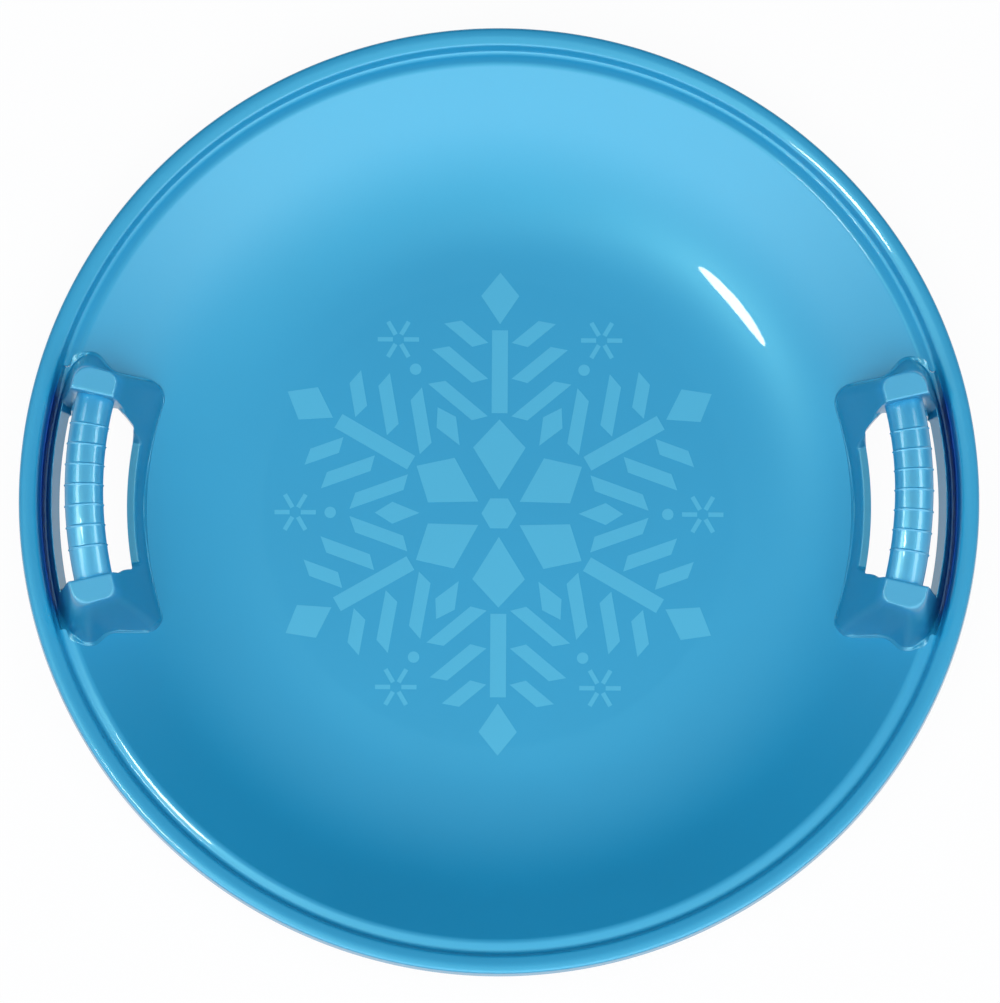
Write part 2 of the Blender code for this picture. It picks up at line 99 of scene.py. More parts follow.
# Paler tops of the handles above a height, and painted shade in the channels behind them.
PALER_TOP_BLUE = (0.034, 0.360, 0.640, 1.0)
PALER_TOP_RANGE = {"From": 0.080, "To": 0.0975}
PALER_TOP_PATCH_SCALE = 45.0
PALER_TOP_PATCH_SWING = 0.5
PALER_TOP_PATCH_LEAST = 0.75
# Painted shade: the channels' upper faces are coloured deep navy where they lie in shade.
CHANNEL_SHADE_NAVY = (0.004, 0.016, 0.340, 1.0)
CHANNEL_SHADE_BAND = {"Radius": 0.2850, "Half Width": 0.0050, "Full To": 0.060, "Gone By": 0.082}
# Places of the colour sockets on Blender's Mix node, whose names its other sockets share.
MIX_FIRST = 6
MIX_SECOND = 7
MIX_RESULT = 2


def eased(values, width):
    """A run of headings softened over a width, so that curvature has no sudden steps."""
    count = round(width / PATH_STEP)
    window = np.hanning(count + 2)[1:-1]
    padded = np.pad(values, (count // 2, count - 1 - count // 2), mode="edge")
    return np.convolve(padded, window / window.sum(), mode="valid")


def flattened_arc(width, start, end, flats):
    """Steps (length, heading at its end) of an arc with nearly flat runs let into it.

    The arc fills its width, so what the flat runs leave of it turns a little tighter.
    """
    runs = [(length, math.radians(first), math.radians(last)) for length, first, last in flats]
    high, low = runs[0][1], runs[-1][2]
    width -= sum(length * math.cos((first + last) / 2) for length, first, last in runs)
    tight = width / (math.sin(start) - math.sin(high) + math.sin(low) - math.sin(end))
    steps = [(length, last) for length, _, last in runs]
    return [(tight * (start - high), high), *steps, (tight * (low - end), end)]


def section_lines():
    """Points (radius, height) of the upper face and, one wall below it, of the lower face."""
    knots = np.cumsum([0, FLOOR_RADIUS, BEND_RADIUS * CONE_ANGLE, CONE_RUN / math.cos(CONE_ANGLE)])
    flank, skirt = FLANK_LENGTH + BEAD_LIFT, SKIRT_DEPTH + SKIRT_LONGER
    shoulder_width = SHOULDER_RADIUS * (math.sin(CONE_ANGLE) + math.sin(LEDGE_FALL))
    bead_width = RIM_RUN - flank * math.cos(FLANK_ANGLE) - skirt * math.cos(SKIRT_ANGLE)
    steps = [
        (knots[3], CONE_ANGLE),
        *flattened_arc(shoulder_width, CONE_ANGLE, -LEDGE_FALL, LEDGE_FLATS),
        (VALLEY_RADIUS * (LEDGE_FALL + FLANK_ANGLE), FLANK_ANGLE),
        (flank, FLANK_ANGLE),
        *flattened_arc(bead_width, FLANK_ANGLE, -SKIRT_ANGLE, BEAD_FLATS),
        (skirt, -SKIRT_ANGLE),
    ]
    ends = np.cumsum([length for length, _ in steps])
    run = np.arange(0, ends[-1], PATH_STEP)
    bend = np.interp(run, knots[1:3], (0, CONE_ANGLE))
    rim = np.interp(run, ends, [turn - CONE_ANGLE for _, turn in steps])
    heading = eased(bend, BEND_EASE) + eased(rim, EDGE_EASE)
    radius = np.cumsum(np.cos(heading)) * PATH_STEP
    height = np.cumsum(np.sin(heading)) * PATH_STEP + WALL
    radius *= DISH_RADIUS / radius[-1]
    stops = np.concatenate([
        np.linspace(0, knots[1] - BEND_EASE, FLOOR_STOPS),
        np.linspace(knots[1] - BEND_EASE, knots[3] - EDGE_EASE, WALL_STOPS)[1:],
        np.linspace(knots[3] - EDGE_EASE, ends[-1], RIM_STOPS)[1:],
    ])
    radius, height, heading = (np.interp(stops, run, line) for line in (radius, height, heading))
    radius[0] = 0.0
    upper = np.stack([radius, height], axis=1)
    lower = np.stack([radius + WALL * np.sin(heading), height - WALL * np.cos(heading)], axis=1)
    return upper, lower


UPPER_LINE, LOWER_LINE = section_lines()


def dish_height(radius):
    """Height of the dish's upper face at each radius."""
    return np.interp(radius, UPPER_LINE[:, 0], UPPER_LINE[:, 1])


def add_object(name, data):
    """An object put into the scene."""
    item = bpy.data.objects.new(name, data)
    scene.collection.objects.link(item)
    return item


def mesh_object(name, verts, faces, crease=CREASE):
    """A smooth-shaded object from points and faces, looking outwards, creased where it turns."""
    mesh = bpy.data.meshes.new(name)
    mesh.from_pydata([tuple(point) for point in verts], [], faces)
    work = bmesh.new()
    work.from_mesh(mesh)
    bmesh.ops.recalc_face_normals(work, faces=work.faces)
    work.to_mesh(mesh)
    work.free()
    mesh.shade_smooth()
    mesh.set_sharp_from_angle(angle=math.radians(crease))
    return add_object(name, mesh)


def ring_faces(rows, count, closed_rows=False):
    """Quads between rows of `count` points that run round a ring."""
    faces = []
    for row in range(rows if closed_rows else rows - 1):
        here, there = row * count, (row + 1) % rows * count
        for i in range(count):
            j = (i + 1) % count
            faces.append((here + i, here + j, there + j, there + i))
    return faces


def turned(name, line, steps):
    """A closed body turned about Z from a line that starts and ends on the axis."""
    angles = np.linspace(0, math.tau, steps, endpoint=False)
    verts = [(r * math.cos(a), r * math.sin(a), z) for r, z in line[1:-1] for a in angles]
    faces = ring_faces(len(line) - 2, steps)
    last = len(verts) - steps
    verts += [(0, 0, line[0][1]), (0, 0, line[-1][1])]
    for i in range(steps):
        j = (i + 1) % steps
        faces.append((i, j, len(verts) - 2))
        faces.append((last + i, last + j, len(verts) - 1))
    return mesh_object(name, verts, faces)


def new_group(name, inputs, outputs):
    """A shader node group with named sockets, and its input and output nodes."""
    group = bpy.data.node_groups.new(name, "ShaderNodeTree")
    for label, kind, value in inputs:
        socket = group.interface.new_socket(label, in_out="INPUT", socket_type=kind)
        socket.default_value = value
    for label, kind in outputs:
        group.interface.new_socket(label, in_out="OUTPUT", socket_type=kind)
    return group, group.nodes.new("NodeGroupInput"), group.nodes.new("NodeGroupOutput")


def feed(links, socket, value):
    """Sets a socket to a number, or links another socket to it."""
    if isinstance(value, (int, float)):
        socket.default_value = value
    else:
        links.new(value, socket)


def math_node(nodes, links, operation, *values):
    """The result of a Math node fed by numbers and sockets."""
    node = nodes.new("ShaderNodeMath")
    node.operation = operation
    for socket, value in zip(node.inputs, values):
        feed(links, socket, value)
    return node.outputs[0]


def noise(nodes, links, place, scale, detail=2.0):
    """The value of a noise texture at a place."""
    texture = nodes.new("ShaderNodeTexNoise")
    links.new(place, texture.inputs["Vector"])
    feed(links, texture.inputs["Scale"], scale)
    texture.inputs["Detail"].default_value = detail
    return texture.outputs["Fac"]


def smooth_ramp(nodes, links, value, start, end):
    """0 where a value is at its start and 1 at its end, eased at both."""
    ramp = nodes.new("ShaderNodeMapRange")
    ramp.interpolation_type = "SMOOTHSTEP"
    feed(links, ramp.inputs["Value"], value)
    feed(links, ramp.inputs["From Min"], start)
    feed(links, ramp.inputs["From Max"], end)
    return ramp.outputs["Result"]


def parts_of(nodes, links, vector):
    """The X, Y and Z outputs of a vector."""
    split = nodes.new("ShaderNodeSeparateXYZ")
    links.new(vector, split.inputs["Vector"])
    return split.outputs


def moulded_group():
    """Moulded plastic: slow clouding of the colour, fine grain, and gloss that varies a little."""
    group, taken, given = new_group(
        "moulded_plastic",
        [
            ("Color", "NodeSocketColor", DISH_BLUE),
            ("Clouding", "NodeSocketFloat", 0.06),
            ("Gloss", "NodeSocketFloat", 0.16),
            ("Grain", "NodeSocketFloat", GRAIN_SCALE),
        ],
        [("Color", "NodeSocketColor"), ("Roughness", "NodeSocketFloat"), ("Height", "NodeSocketFloat")],
    )
    nodes, links = group.nodes, group.links
    place = nodes.new("ShaderNodeTexCoord").outputs["Object"]
    cloud = noise(nodes, links, place, CLOUD_SCALE, CLOUD_DETAIL)
    grain = noise(nodes, links, place, taken.outputs["Grain"])
    ripple = noise(nodes, links, place, RIPPLE_SCALE)
    swing = math_node(nodes, links, "SUBTRACT", cloud, 0.5)
    swing = math_node(nodes, links, "MULTIPLY", swing, taken.outputs["Clouding"])
    bright = math_node(nodes, links, "ADD", math_node(nodes, links, "MULTIPLY", swing, 2.0), 1.0)
    tint = nodes.new("ShaderNodeHueSaturation")
    links.new(taken.outputs["Color"], tint.inputs["Color"])
    links.new(bright, tint.inputs["Value"])
    links.new(tint.outputs["Color"], given.inputs["Color"])
    dull = math_node(nodes, links, "MULTIPLY", swing, CLOUD_IN_GLOSS)
    speck = math_node(nodes, links, "MULTIPLY", grain, GRAIN_IN_GLOSS)
    rough = math_node(nodes, links, "ADD", taken.outputs["Gloss"], dull)
    links.new(math_node(nodes, links, "ADD", rough, speck), given.inputs["Roughness"])
    low = math_node(nodes, links, "MULTIPLY", ripple, RIPPLE_IN_RELIEF)
    links.new(math_node(nodes, links, "ADD", low, grain), given.inputs["Height"])
    return group


def channel_shade_group():
    """Painted shade in the channels: a soft ring-shaped zone on the upper faces beside both handles."""
    group, taken, given = new_group(
        "channel_shade_band",
        [
            ("Radius", "NodeSocketFloat", 0.28),
            ("Half Width", "NodeSocketFloat", 0.004),
            ("Full To", "NodeSocketFloat", 0.05),
            ("Gone By", "NodeSocketFloat", 0.08),
        ],
        [("Mask", "NodeSocketFloat")],
    )
    nodes, links = group.nodes, group.links
    place = parts_of(nodes, links, nodes.new("ShaderNodeTexCoord").outputs["Object"])
    squares = [math_node(nodes, links, "MULTIPLY", place[axis], place[axis]) for axis in "XY"]
    away = math_node(nodes, links, "SQRT", math_node(nodes, links, "ADD", *squares))
    away = math_node(nodes, links, "SUBTRACT", away, taken.outputs["Radius"])
    away = math_node(nodes, links, "ABSOLUTE", away)
    along = math_node(nodes, links, "ABSOLUTE", place["Y"])
    across_mask = smooth_ramp(nodes, links, away, taken.outputs["Half Width"], 0.0)
    along_mask = smooth_ramp(nodes, links, along, taken.outputs["Gone By"], taken.outputs["Full To"])
    facing = parts_of(nodes, links, nodes.new("ShaderNodeNewGeometry").outputs["Normal"])
    upper = math_node(nodes, links, "GREATER_THAN", facing["Z"], 0.0)
    mask = math_node(nodes, links, "MULTIPLY", across_mask, along_mask)
    links.new(math_node(nodes, links, "MULTIPLY", mask, upper), given.inputs["Mask"])
    return group


def paler_top_group():
    """Parts above a height, broken up in patches."""
    group, taken, given = new_group(
        "paler_top",
        [("From", "NodeSocketFloat", 0.08), ("To", "NodeSocketFloat", 0.10)],
        [("Mask", "NodeSocketFloat")],
    )
    nodes, links = group.nodes, group.links
    place = nodes.new("ShaderNodeTexCoord").outputs["Object"]
    height = parts_of(nodes, links, place)["Z"]
    high = smooth_ramp(nodes, links, height, taken.outputs["From"], taken.outputs["To"])
    patches = noise(nodes, links, place, PALER_TOP_PATCH_SCALE)
    share = math_node(nodes, links, "MULTIPLY", patches, PALER_TOP_PATCH_SWING)
    share = math_node(nodes, links, "ADD", share, PALER_TOP_PATCH_LEAST)
    links.new(math_node(nodes, links, "MULTIPLY", high, share), given.inputs["Mask"])
    return group


def set_inputs(node, values):
    """A node with inputs set by name."""
    for label, value in values.items():
        node.inputs[label].default_value = value
    return node


def place_group(nodes, group, values):
    """A node group placed in a material with its own values."""
    node = nodes.new("ShaderNodeGroup")
    node.node_tree = group
    return set_inputs(node, values)


def new_material(name):
    """A material, its nodes and its links."""
    material = bpy.data.materials.new(name)
    material.use_nodes = True
    return material, material.node_tree.nodes, material.node_tree.links


MOULDED = moulded_group()
TOP_TINT_AND_CHANNEL_SHADE = (
    (paler_top_group(), PALER_TOP_RANGE, PALER_TOP_BLUE),
    (channel_shade_group(), CHANNEL_SHADE_BAND, CHANNEL_SHADE_NAVY),
)


def plastic(name, colour, clouding, gloss, relief):
    """Glossy moulded plastic, paler on the handles' tops, with shade painted deep blue in their
    channels.
    """
    material, nodes, links = new_material(name)
    shader = set_inputs(nodes["Principled BSDF"], POLISH)
    finish = place_group(nodes, MOULDED, {"Color": colour, "Clouding": clouding, "Gloss": gloss})
    bump = set_inputs(nodes.new("ShaderNodeBump"), {"Strength": relief, "Distance": GRAIN_DEPTH})
    shade = finish.outputs["Color"]
    # Mixes the paler tops and the painted shade of the channels into the colour.
    for group, values, tone in TOP_TINT_AND_CHANNEL_SHADE:
        mix = nodes.new("ShaderNodeMix")
        mix.data_type = "RGBA"
        links.new(place_group(nodes, group, values).outputs["Mask"], mix.inputs["Factor"])
        links.new(shade, mix.inputs[MIX_FIRST])
        mix.inputs[MIX_SECOND].default_value = tone
        shade = mix.outputs[MIX_RESULT]
    links.new(shade, shader.inputs["Base Color"])
    links.new(finish.outputs["Roughness"], shader.inputs["Roughness"])
    links.new(finish.outputs["Height"], bump.inputs["Height"])
    links.new(bump.outputs["Normal"], shader.inputs["Normal"])
    return material


DISH_PLASTIC = plastic("dish_plastic", DISH_BLUE, **DISH_FINISH)
dish = turned("saucer", np.concatenate([UPPER_LINE, LOWER_LINE[::-1]]), DISH_TURNS)
dish.data.materials.append(DISH_PLASTIC)
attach(dish, "root")
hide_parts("dish")

# The handle mounts: a hollow mound of the same moulding stands round each finger opening,
# with a high land at each end, a low lip towards the rider, a fence along the rim side and a
# deep channel behind it. Widths run inward from the outer edge, reaches along the arc.
MOUNT_SEAM = 0.0004
MOUNT_OUTER = BEAD_FOOT - MOUNT_SEAM
MOUNT_INNER = MOUNT_OUTER - 0.0653
SADDLE_RADIUS = MOUNT_OUTER - 0.0303
RIM_LOBE_RADIUS = MOUNT_OUTER - 0.0167
SHOULDER_EDGE = MOUNT_OUTER - 0.0043
LAND_INNER = MOUNT_OUTER - 0.0403
LAND_OUTER = MOUNT_OUTER - 0.0123
FENCE_RADIUS = MOUNT_OUTER - 0.0067
CHANNEL_FOOT = MOUNT_OUTER - 0.0035
CHANNEL_BACK = MOUNT_OUTER - 0.0017
CHANNEL_TOP = MOUNT_OUTER - 0.0005
OPENING_INNER = MOUNT_OUTER - 0.0533
OPENING_OUTER = MOUNT_OUTER - 0.0112
GRIP_RADIUS = MOUNT_OUTER - 0.0283
LOBE_REACH = 0.0945
SADDLE_REACH = 0.0852
RIM_LOBE_REACH = 0.0925
SHOULDER_REACH = 0.0845
NOTCH_REACH = 0.0770
LAND_START = 0.0578
LAND_END = 0.0742
OPENING_REACH = 0.0562
LIP_FLAT_REACH = 0.0420
CHANNEL_FADE = (0.058, 0.084)
SEAT_HEIGHT = float(dish_height(MOUNT_OUTER))
LAND_HEIGHT = SEAT_HEIGHT + 0.0460
FENCE_HEIGHT = SEAT_HEIGHT - 0.0020
CHANNEL_HEIGHT = SEAT_HEIGHT - 0.0180
LIP_HEIGHT = float(dish_height(OPENING_INNER)) + 0.0100
FENCE_SLOPE = 2.9
WEB_RISE = 0.0430
WEB_RISE_WIDTH = 0.0160
FACE_DRAFT = 0.0018
FACE_EDGE = 0.0020
FLANGE = 0.0020
FLANGE_LIFT = 0.0007
LAND_INNER_CORNER = 0.007
LAND_OUTER_CORNER = 0.010
EDGE_BLEND = 0.006
FOOT_BLEND = 0.005
LOBE_BEND = 0.012
RIM_LOBE_BEND = 0.010
SHOULDER_BEND = 0.006
NOTCH_BEND = 0.0015
TIP_BEND = 0.0005
OPENING_BEND = 0.002
INNER_CHAMFER = (0.0110, 0.0057)
OUTER_CHAMFER = (0.0070, 0.0047)
BEND_STEPS = 8
# How the lower face feels for the nearest wall: shares of the wall, and directions round.
UNDER_SHARES = (0.35, 0.7, 0.9, 1.0)
UNDER_DIRECTIONS = 12
MOUNT_COLUMNS = 640
FLANGE_ROWS = 9
MOUND_ROWS = 62
MOUNT_CREASE = 50


def smooth_max(one, other, blend):
    """The larger of two heights, rounded where they meet."""
    share = np.maximum(blend - np.abs(one - other), 0.0) / blend
    return np.maximum(one, other) + share * share * blend / 4


def smooth_min(one, other, blend):
    """The smaller of two heights, rounded where they meet."""
    return -smooth_max(-one, -other, blend)


def corner_min(one, one_slope, other, other_slope, bend):
    """The smaller of two sloping walls' heights, their corner rounded to one radius in plan."""
    one_part, other_part = bend - one / one_slope, bend - other / other_slope
    square = 1 / one_slope ** 2 + 1 / other_slope ** 2
    middle = one_part / one_slope + other_part / other_slope
    root = middle ** 2 - square * (one_part ** 2 + other_part ** 2 - bend ** 2)
    height = (np.sqrt(np.maximum(root, 0.0)) - middle) / square
    inside = np.maximum((one - height) / one_slope, (other - height) / other_slope)
    return np.where((root > 0) & (inside < bend), height, np.minimum(one, other))


def ease(share):
    """A ramp from 0 to 1 with level ends."""
    share = np.clip(share, 0.0, 1.0)
    return share * share * (3 - 2 * share)


def through(place, first, second):
    """Value at a place of the straight line through two (place, value) points."""
    return first[1] + (place - first[0]) * (second[1] - first[1]) / (second[0] - first[0])


def mount_bed(radius, reach):
    """The dish's face with the channel between the fence and the rim."""
    plain = dish_height(radius)
    back = through(radius, (CHANNEL_BACK, CHANNEL_HEIGHT), (CHANNEL_TOP, dish_height(CHANNEL_TOP)))
    channel = np.minimum(plain, np.maximum(CHANNEL_HEIGHT, back))
    fade = ease((reach - CHANNEL_FADE[0]) / (CHANNEL_FADE[1] - CHANNEL_FADE[0]))
    return np.where(radius < LAND_OUTER, plain, channel + (plain - channel) * fade)


def mount_crest(radius, reach):
    """Top of the mound: the lands, the lip and the fence."""
    rise = ease((reach - LIP_FLAT_REACH) / (LAND_START - FACE_DRAFT - LIP_FLAT_REACH))
    rise = rise * (1 - ease((radius - LAND_INNER) / WEB_RISE_WIDTH))
    fence = FENCE_HEIGHT - np.maximum(FENCE_RADIUS - radius, 0.0) * FENCE_SLOPE
    between = smooth_max(LIP_HEIGHT + WEB_RISE * rise, fence, EDGE_BLEND)
    past_face = reach - LAND_START
    inside = np.clip(FACE_EDGE - past_face, 0.0, FACE_EDGE)
    rounded = LAND_HEIGHT - FACE_EDGE + np.sqrt(FACE_EDGE ** 2 - inside ** 2)
    up_face = np.maximum(1 + past_face / FACE_DRAFT, 0.0)
    face = between + (LAND_HEIGHT - FACE_EDGE - between) * up_face
    return np.where(past_face >= 0, rounded, face)


def mount_top(radius, along):
    """Height of the mount's upper face at a radius and an arc length from its middle."""
    reach = np.abs(along)
    foot = MOUNT_INNER + FLANGE
    saddle, rim_lobe = (SADDLE_RADIUS, SADDLE_REACH), (RIM_LOBE_RADIUS, RIM_LOBE_REACH)
    inner_lobe = through(radius, (MOUNT_INNER, LOBE_REACH), saddle)
    falling = through(radius, rim_lobe, (SHOULDER_EDGE, SHOULDER_REACH))
    outer_lobe = smooth_min(through(radius, saddle, rim_lobe), falling, FOOT_BLEND)
    end_foot = smooth_max(inner_lobe, outer_lobe, FOOT_BLEND) - FLANGE
    inner_slope = (LAND_HEIGHT - dish_height(foot)) / (LAND_INNER - foot)
    outer_slope = (LAND_HEIGHT - CHANNEL_HEIGHT) / (CHANNEL_FOOT - LAND_OUTER)
    end_slope = (LAND_HEIGHT - dish_height(radius)) / (end_foot - LAND_END)
    inner = LAND_HEIGHT + (radius - LAND_INNER) * inner_slope
    outer = LAND_HEIGHT - (radius - LAND_OUTER) * outer_slope
    end = LAND_HEIGHT - (reach - LAND_END) * end_slope
    inner_walls = corner_min(inner, inner_slope, end, end_slope, LAND_INNER_CORNER)
    outer_walls = corner_min(outer, outer_slope, end, end_slope, LAND_OUTER_CORNER)
    walls = np.minimum(inner_walls, outer_walls)
    mound = smooth_min(walls, mount_crest(radius, reach), EDGE_BLEND)
    return smooth_max(mount_bed(radius, reach), mound, FOOT_BLEND)


def mount_under(radius, along):
    """Height of the lower face, one wall away from every point of the upper face."""
    lowest = mount_top(radius, along) - WALL
    for share in UNDER_SHARES:
        drop = WALL * math.sqrt(1 - share * share)
        for angle in np.linspace(0, math.tau, UNDER_DIRECTIONS, endpoint=False):
            near_radius = radius + share * WALL * math.cos(angle)
            near_along = along + share * WALL * math.sin(angle)
            lowest = np.minimum(lowest, mount_top(near_radius, near_along) - drop)
    return lowest


def round_corner(before, corner, after, bend):
    """Points of the arc that rounds one corner of an outline."""
    corner = np.array(corner)
    legs = [np.array(end) - corner for end in (before, after)]
    legs = [leg / np.linalg.norm(leg) for leg in legs]
    half = math.acos(float(legs[0] @ legs[1])) / 2
    middle = (legs[0] + legs[1]) / np.linalg.norm(legs[0] + legs[1])
    centre = corner + middle * bend / math.sin(half)
    ends = [corner + leg * bend / math.tan(half) - centre for leg in legs]
    start = math.atan2(ends[0][1], ends[0][0])
    sweep = (math.atan2(ends[1][1], ends[1][0]) - start + math.pi) % math.tau - math.pi
    angles = start + sweep * np.linspace(0, 1, BEND_STEPS + 1)
    return [tuple(centre + bend * np.array((math.cos(a), math.sin(a)))) for a in angles]


def closed_outline(half_corners, count):
    """`count` evenly spaced points (radius, arc) round an outline, mirrored and rounded.

    A corner is its radius, its reach along the arc and its bend. The points start in the
    middle of the side that faces the dish's axis.
    """
    corners = half_corners + [(r, -a, bend) for r, a, bend in reversed(half_corners)]
    points = [(half_corners[0][0], 0.0)]
    for index, (radius, along, bend) in enumerate(corners):
        before, after = corners[index - 1][:2], corners[(index + 1) % len(corners)][:2]
        points += round_corner(before, (radius, along), after, bend)
    points = np.array(points + points[:1])
    run = np.concatenate([[0], np.cumsum(np.linalg.norm(np.diff(points, axis=0), axis=1))])
    stops = np.linspace(0, run[-1], count, endpoint=False)
    return np.stack([np.interp(stops, run, points[:, k]) for k in (0, 1)], axis=1)


def mount_outline(count):
    """Foot of the mount, where it meets the dish and the rim."""
    return closed_outline([
        (MOUNT_INNER, LOBE_REACH, LOBE_BEND),
        (SADDLE_RADIUS, SADDLE_REACH, LOBE_BEND),
        (RIM_LOBE_RADIUS, RIM_LOBE_REACH, RIM_LOBE_BEND),
        (SHOULDER_EDGE, SHOULDER_REACH, SHOULDER_BEND),
        (SHOULDER_EDGE, NOTCH_REACH, NOTCH_BEND),
        (MOUNT_OUTER, NOTCH_REACH, TIP_BEND),
    ], count)


def opening_outline(count):
    """The finger opening, a long slot with its corners cut off."""
    across_in, along_in = INNER_CHAMFER
    across_out, along_out = OUTER_CHAMFER
    return closed_outline([
        (OPENING_INNER, OPENING_REACH - along_in, OPENING_BEND),
        (OPENING_INNER + across_in, OPENING_REACH, OPENING_BEND),
        (OPENING_OUTER - across_out, OPENING_REACH, OPENING_BEND),
        (OPENING_OUTER, OPENING_REACH - along_out, OPENING_BEND),
    ], count)


def placed(radius, along, height, side):
    """Positions from radius, arc length at the grip and height, on the +X or -X side."""
    angle = along / GRIP_RADIUS
    return np.stack([side * radius * np.cos(angle), side * radius * np.sin(angle), height], axis=-1)


def mount_object(name, side):
    """The mount's moulded skin, closed from its foot over the mound to the opening and back."""
    foot, edge = mount_outline(MOUNT_COLUMNS), opening_outline(MOUNT_COLUMNS)
    flange = FLANGE / np.linalg.norm(edge - foot, axis=1)
    near = np.linspace(0, 1, FLANGE_ROWS)[:, None] * flange
    far = flange + (1 - flange) * np.linspace(0, 1, MOUND_ROWS + 1)[1:, None]
    grid = foot[None] + (edge - foot)[None] * np.concatenate([near, far])[..., None]
    radius, along = grid[..., 0], grid[..., 1]
    from_foot = np.linalg.norm(grid - foot[None], axis=-1)
    bead = np.sqrt(np.clip(1 - (from_foot / FLANGE * 2 - 1) ** 2, 0.0, 1.0))
    bead *= 1 - ease((foot[:, 0] - RIM_LOBE_RADIUS) / (SHOULDER_EDGE - RIM_LOBE_RADIUS))
    top = placed(radius, along, mount_top(radius, along) + FLANGE_LIFT * bead, side)
    under = placed(radius, along, mount_under(radius, along), side)
    verts = np.concatenate([top, under[::-1]]).reshape(-1, 3)
    rows = 2 * (FLANGE_ROWS + MOUND_ROWS)
    faces = ring_faces(rows, MOUNT_COLUMNS, closed_rows=True)
    return mesh_object(name, verts, faces, MOUNT_CREASE)


def cut_out(item, side):
    """Opens the dish where a mount is seated."""
    outline = mount_outline(MOUNT_COLUMNS // 2)
    low = placed(outline[:, 0], outline[:, 1], np.full(len(outline), -WALL), side)
    high = low + np.array([0, 0, LAND_HEIGHT])
    count = len(outline)
    faces = ring_faces(2, count) + [tuple(range(count)), tuple(range(count, 2 * count))]
    tool = mesh_object("cut_tool", np.concatenate([low, high]), faces)
    cut = item.modifiers.new("cut", "BOOLEAN")
    cut.operation = "DIFFERENCE"
    cut.solver = "EXACT"
    cut.object = tool
    graph = bpy.context.evaluated_depsgraph_get()
    mesh = bpy.data.meshes.new_from_object(item.evaluated_get(graph))
    item.modifiers.clear()
    item.data = mesh
    mesh.set_sharp_from_angle(angle=math.radians(CREASE))
    bpy.data.objects.remove(tool)


SIDES = ((1, "right"), (-1, "left"))
handle_pieces = []
for side, hand in SIDES:
    mount = mount_object(hand + "_mount", side)
    handle_pieces.append(mount)
    mount.data.materials.append(DISH_PLASTIC)
    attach(mount, "root")
    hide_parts(hand + "_handle_mount")
    cut_out(dish, side)

# The hand grips: a channel-shaped bar, open below, arches from land to land over each
# opening. Seven fine raised ribs stop a mitten from slipping. It is moulded in the same
# plastic, and its two ends run on into the lands.
GRIP_HALF_WIDTH = 0.0120
GRIP_CROWN = 0.0085
GRIP_SIDE = 0.0085
GRIP_TAPER = 0.0008
GRIP_WALL = 0.0030
GRIP_PROUD = 0.0035
GRIP_ARCH = 0.0085
GRIP_END = LAND_START + 0.0050
RIB_COUNT = 7
RIB_SPACING = 2 * LAND_START / (RIB_COUNT + 2)
RIB_HEIGHT = 0.0006
RIB_HALF_WIDTH = 0.0009
# The crown, from side to side: the lengths of its runs and the headings where they meet.
CROWN_RUNS = (10.03, 2.6, 7.75, 2.6, 10.03)
CROWN_HEADINGS = (90, 16, 12, -12, -16, -90)
CROWN_STEPS = 48
CROWN_SUBSTEPS = 20
SIDE_STEPS = 4
GRIP_STATIONS = 420
GRIP_CREASE = 50
GRIP_BLUE = (0.034, 0.345, 0.590, 1.0)
GRIP_FINISH = {"clouding": 0.04, "gloss": 0.30, "relief": 0.4}


def crown_line(half_width, crown):
    """A crown of arcs and two nearly flat facets on straight sides, lower edge to lower edge."""
    ends = np.cumsum([0, *CROWN_RUNS])
    fine = np.linspace(0, ends[-1], CROWN_SUBSTEPS * CROWN_STEPS + 1)
    heading = np.interp(fine, ends, np.radians(CROWN_HEADINGS))
    walk = np.cumsum(np.stack([np.cos(heading), np.sin(heading)], axis=1), axis=0)[::CROWN_SUBSTEPS]
    walk -= walk[0]
    across = half_width * (2 * walk[:, 0] / walk[-1, 0] - 1)
    oval = np.stack([across, crown * walk[:, 1] / walk[:, 1].max()], axis=1)
    foot = half_width - GRIP_TAPER
    down = [-GRIP_SIDE * step / SIDE_STEPS for step in range(1, SIDE_STEPS + 1)]
    left_side = np.array([[-foot, height] for height in reversed(down)])
    right_side = np.array([[foot, height] for height in down])
    return np.concatenate([left_side, oval, right_side])


def grip_object(name, side):
    """The arched grip with its ribs."""
    stations = np.linspace(-GRIP_END, GRIP_END, GRIP_STATIONS)
    middles = (np.arange(RIB_COUNT) - (RIB_COUNT - 1) / 2) * RIB_SPACING
    nearest = np.min(np.abs(stations[:, None] - middles[None]), axis=1)
    ribs = RIB_HEIGHT * (1 - ease(nearest / RIB_HALF_WIDTH))
    inside = crown_line(GRIP_HALF_WIDTH - GRIP_WALL, GRIP_CROWN - GRIP_WALL)[::-1]
    rings = []
    for along, rib in zip(stations, ribs):
        outside = crown_line(GRIP_HALF_WIDTH + rib, GRIP_CROWN + rib)
        section = np.concatenate([outside, inside])
        base = LAND_HEIGHT + GRIP_PROUD - GRIP_CROWN - GRIP_ARCH * (along / LAND_START) ** 2
        across, up = section[:, 0], section[:, 1]
        rings.append(placed(GRIP_RADIUS + across, np.full(len(section), along), base + up, side))
    count = len(rings[0])
    last = (len(rings) - 1) * count
    faces = ring_faces(len(rings), count) + [tuple(range(count)), tuple(range(last, last + count))]
    return mesh_object(name, np.concatenate(rings), faces, GRIP_CREASE)


GRIP_PLASTIC = plastic("grip_plastic", GRIP_BLUE, **GRIP_FINISH)
for side, hand in SIDES:
    grip = grip_object(hand + "_bar", side)
    handle_pieces.append(grip)
    grip.data.materials.append(GRIP_PLASTIC)
    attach(grip, "root")
    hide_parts(hand + "_grip")

